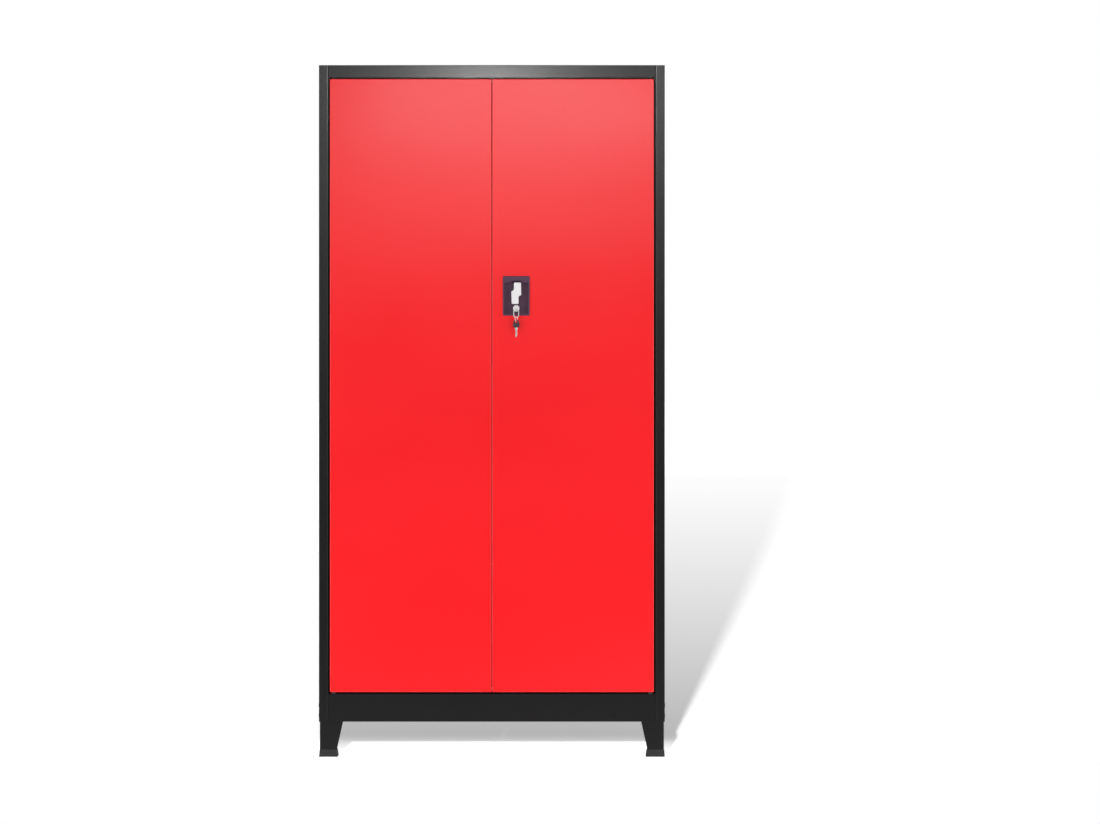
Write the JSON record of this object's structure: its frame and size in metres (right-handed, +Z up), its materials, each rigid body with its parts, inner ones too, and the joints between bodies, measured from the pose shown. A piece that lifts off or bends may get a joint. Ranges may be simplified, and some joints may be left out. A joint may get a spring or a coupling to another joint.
{
  "type": "two-door steel storage cupboard",
  "caption": "Tall free-standing steel cupboard with two hinged doors, a recessed turning handle with key lock, four adjustable shelves and corner legs.",
  "frame": {"origin": "middle of the footprint on the floor", "axes": "+X to the right seen from the front, +Y from the doors to the back wall, +Z up"},
  "size_m": [0.9016, 0.4182, 1.8],
  "materials": {
    "black_powder_coat": "fine-textured black powder coat",
    "red_powder_coat": "smooth semi-gloss red powder coat",
    "zinc_plated_steel": "bright zinc plate",
    "black_oxide_steel": "oiled black oxide",
    "foot_plastic": "moulded dark grey plastic",
    "black_nylon": "black nylon",
    "black_rubber": "soft black rubber",
    "housing_plastic": "fine-grained black plastic",
    "satin_chrome": "satin chrome",
    "nickel": "nickel plate",
    "key_plastic": "black moulded plastic"
  },
  "bodies": {
    "carcass": {"side_panel_left": "black_powder_coat", "side_panel_right": "black_powder_coat", "top_panel": "black_powder_coat", "bottom_panel": "black_powder_coat", "back_panel_left": "black_powder_coat", "back_panel_right": "black_powder_coat", "back_seam_channel": "black_powder_coat", "shelf_strip_front_left": "black_powder_coat", "shelf_strip_rear_left": "black_powder_coat", "shelf_strip_front_right": "black_powder_coat", "shelf_strip_rear_right": "black_powder_coat", "shelf_1": "black_powder_coat", "shelf_2": "black_powder_coat", "shelf_3": "black_powder_coat", "shelf_4": "black_powder_coat", "leg_front_left": "black_powder_coat", "leg_rear_left": "black_powder_coat", "leg_front_right": "black_powder_coat", "leg_rear_right": "black_powder_coat", "shelf_clips": "zinc_plated_steel", "leg_bolts": "black_oxide_steel", "leg_nuts": "zinc_plated_steel", "back_screws": "zinc_plated_steel", "foot_cap_front_left": "foot_plastic", "foot_cap_rear_left": "foot_plastic", "foot_cap_front_right": "foot_plastic", "foot_cap_rear_right": "foot_plastic", "pivot_bushes": "black_nylon", "door_bumpers": "black_rubber"},
    "right_door": {"door_right": "red_powder_coat", "stiffener_right": "red_powder_coat", "hinge_pins_right": "black_oxide_steel", "hinge_brackets_right": "zinc_plated_steel", "hinge_spring_right": "zinc_plated_steel", "lock_housing": "housing_plastic", "lock_retainer": "zinc_plated_steel", "lock_barrel": "satin_chrome", "barrel_clip": "zinc_plated_steel", "rod_guides": "zinc_plated_steel"},
    "left_door": {"door_left": "red_powder_coat", "stiffener_left": "red_powder_coat", "hinge_pins_left": "black_oxide_steel", "hinge_brackets_left": "zinc_plated_steel", "hinge_spring_left": "zinc_plated_steel", "strike_plate": "zinc_plated_steel"},
    "handle": {"handle_grip": "satin_chrome", "cam_disc": "zinc_plated_steel", "cam_screw": "zinc_plated_steel"},
    "upper_bar": {"upper_rod": "zinc_plated_steel"},
    "lower_bar": {"lower_rod": "zinc_plated_steel"},
    "cross_bolt": {"side_bolt": "zinc_plated_steel"},
    "cylinder": {"lock_plug": "satin_chrome", "lock_tongue": "zinc_plated_steel", "plug_screw": "zinc_plated_steel"},
    "key": {"key_blade": "nickel"},
    "folding_bow": {"key_bow": "nickel"},
    "ring": {"key_ring": "nickel"},
    "spare_key": {"spare_key_blade": "nickel", "spare_key_head": "key_plastic"}
  },
  "joints": [
    {"name": "left_door_hinge", "type": "hinge", "parent": "carcass", "child": "left_door", "pos_m": [-0.412, -0.1905, 0.9], "axis": [0, 0, -1], "range_deg": [0, 110]},
    {"name": "right_door_hinge", "type": "hinge", "parent": "carcass", "child": "right_door", "pos_m": [0.412, -0.1905, 0.9], "axis": [0, 0, 1], "range_deg": [0, 110]},
    {"name": "handle_turn", "type": "hinge", "parent": "right_door", "child": "handle", "pos_m": [0.0635, -0.19, 1.2065], "axis": [0, -1, 0], "range_deg": [0, 90]},
    {"name": "upper_bar_slide", "type": "slide", "parent": "right_door", "child": "upper_bar", "axis": [0, 0, 1], "range_m": [0, 0.02]},
    {"name": "lower_bar_slide", "type": "slide", "parent": "right_door", "child": "lower_bar", "axis": [0, 0, -1], "range_m": [0, 0.02]},
    {"name": "cross_bolt_slide", "type": "slide", "parent": "right_door", "child": "cross_bolt", "axis": [-1, 0, 0], "range_m": [0, 0.02]},
    {"name": "key_turn", "type": "hinge", "parent": "right_door", "child": "cylinder", "pos_m": [0.0635, -0.19, 1.167], "axis": [0, -1, 0], "range_deg": [0, 90]},
    {"name": "key_pull", "type": "slide", "parent": "cylinder", "child": "key", "axis": [0, -1, 0], "range_m": [0, 0.024]},
    {"name": "key_bow_fold", "type": "hinge", "parent": "key", "child": "folding_bow", "pos_m": [0.0635, -0.2102, 1.167], "axis": [-1, 0, 0], "range_deg": [0, 90]},
    {"name": "ring_swing", "type": "hinge", "parent": "folding_bow", "child": "ring", "pos_m": [0.0635, -0.2102, 1.14325], "axis": [-1, 0, 0], "range_deg": [-90, 0]},
    {"name": "spare_key_swing", "type": "hinge", "parent": "ring", "child": "spare_key", "pos_m": [0.0635, -0.2102, 1.13305], "axis": [0, -1, 0], "range_deg": [-90, 0]}
  ],
  "couplings": [
    {"joint": "upper_bar_slide", "follows": "handle_turn", "m_per_rad": 0.012604},
    {"joint": "lower_bar_slide", "follows": "handle_turn", "m_per_rad": 0.012604},
    {"joint": "cross_bolt_slide", "follows": "handle_turn", "m_per_rad": 0.012604},
    {"joint": "ring_swing", "follows": "key_bow_fold", "ratio": -1},
    {"joint": "spare_key_swing", "follows": "key_turn", "ratio": -1}
  ]
}
